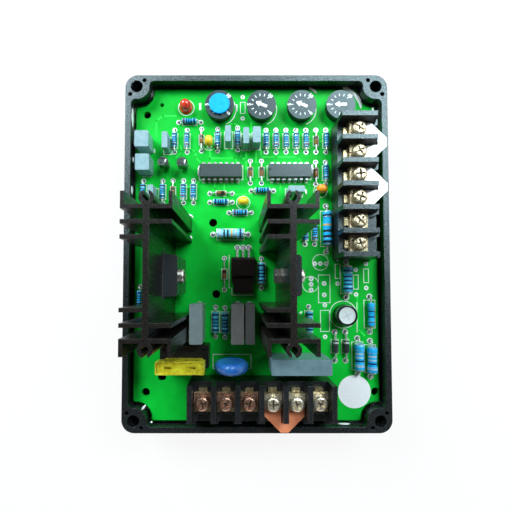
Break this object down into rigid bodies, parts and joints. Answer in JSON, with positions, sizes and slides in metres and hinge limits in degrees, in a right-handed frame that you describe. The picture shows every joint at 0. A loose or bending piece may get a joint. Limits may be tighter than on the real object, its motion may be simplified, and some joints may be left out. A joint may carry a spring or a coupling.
{
  "type": "automatic voltage regulator",
  "caption": "Generator voltage regulator: black open tray with a populated green circuit board, finned heat sinks, barrier terminal blocks and dial trimmers.",
  "frame": {"origin": "centre of the tray's flat back", "axes": "+X toward the side terminal block, +Y toward the dial trimmers, +Z out of the tray toward the components"},
  "size_m": [0.115, 0.155, 0.062],
  "materials": {
    "tray_plastic": "grained black moulding",
    "clear_resin": "clear lacquer",
    "board_green": "green solder mask",
    "block_plastic": "black moulding",
    "contact_brass": "plated brass",
    "plated_steel": "yellow passivated",
    "tinned_copper": "tinned",
    "bare_copper": "bare copper",
    "sink_aluminium": "black anodised",
    "tinned_lead": "tinned wire",
    "epoxy_black": "moulded epoxy",
    "insulator": "thermal pad",
    "holder_black": "black moulding",
    "fuse_yellow": "clear yellow moulding",
    "fuse_zinc": "bare zinc",
    "varistor_blue": "blue epoxy coat",
    "can_sleeve": "sleeved can",
    "film_pale": "moulded box",
    "film_dark": "moulded box",
    "bead_yellow": "dipped coat",
    "led_red": "clear red lens",
    "resistor_blue": "lacquer",
    "diode_glass": "glass body",
    "dial_grey": "grey moulding",
    "rotor_grey": "grey moulding",
    "cap_blue": "blue moulding",
    "pointer_white": "white moulding",
    "sticker_paper": "white paper"
  },
  "bodies": {
    "regulator": {"tray": "tray_plastic", "resin_bead": "clear_resin", "circuit_board": "board_green", "side_terminal_block": "block_plastic", "end_terminal_block": "block_plastic", "side_contact_plates": "contact_brass", "end_contact_plates": "contact_brass", "side_clamp_plates": "plated_steel", "end_clamp_plates": "plated_steel", "side_terminal_screws": "plated_steel", "end_terminal_screws": "plated_steel", "upper_side_link": "tinned_copper", "lower_side_link": "tinned_copper", "end_link": "bare_copper", "left_heat_sink": "sink_aluminium", "right_heat_sink": "sink_aluminium", "heat_sink_pins": "tinned_lead", "left_power_device": "epoxy_black", "right_power_device": "epoxy_black", "power_device_leads": "tinned_lead", "insulating_pads": "insulator", "device_screws": "plated_steel", "device_nuts": "plated_steel", "flat_transistor": "epoxy_black", "flat_transistor_leads": "tinned_lead", "fuse_holder": "holder_black", "fuse_clips": "contact_brass", "fuse_body": "fuse_yellow", "fuse_element": "fuse_zinc", "varistor": "varistor_blue", "electrolytic_capacitor": "can_sleeve", "main_film_capacitor": "film_pale", "pale_snubber_capacitor": "film_pale", "dark_snubber_capacitors": "film_dark", "signal_film_capacitors": "film_dark", "bead_capacitors": "bead_yellow", "indicator_led": "led_red", "logic_chips": "epoxy_black", "chip_pins": "tinned_lead", "small_transistors": "epoxy_black", "small_resistors": "resistor_blue", "half_watt_resistors": "resistor_blue", "power_resistors": "resistor_blue", "glass_diodes": "diode_glass", "rectifier_diodes": "epoxy_black", "dial_housings": "dial_grey", "dial_pins": "tinned_lead", "inspection_sticker": "sticker_paper"},
    "dial_1": {"rotor_1": "rotor_grey", "blue_cap": "cap_blue"},
    "dial_2": {"rotor_2": "rotor_grey", "pointer_2": "pointer_white"},
    "dial_3": {"rotor_3": "rotor_grey", "pointer_3": "pointer_white"},
    "dial_4": {"rotor_4": "rotor_grey", "pointer_4": "pointer_white"}
  },
  "joints": [
    {"name": "dial_1_turn", "type": "hinge", "parent": "regulator", "child": "dial_1", "pos_m": [-0.0162, 0.0647, 0.0216], "axis": [0, 0, 1], "range_deg": [-135, 135]},
    {"name": "dial_2_turn", "type": "hinge", "parent": "regulator", "child": "dial_2", "pos_m": [0.0023, 0.0647, 0.0216], "axis": [0, 0, 1], "range_deg": [-113, 157]},
    {"name": "dial_3_turn", "type": "hinge", "parent": "regulator", "child": "dial_3", "pos_m": [0.0201, 0.0647, 0.0216], "axis": [0, 0, 1], "range_deg": [-113, 157]},
    {"name": "dial_4_turn", "type": "hinge", "parent": "regulator", "child": "dial_4", "pos_m": [0.0373, 0.0647, 0.0216], "axis": [0, 0, 1], "range_deg": [-135, 135]}
  ]
}
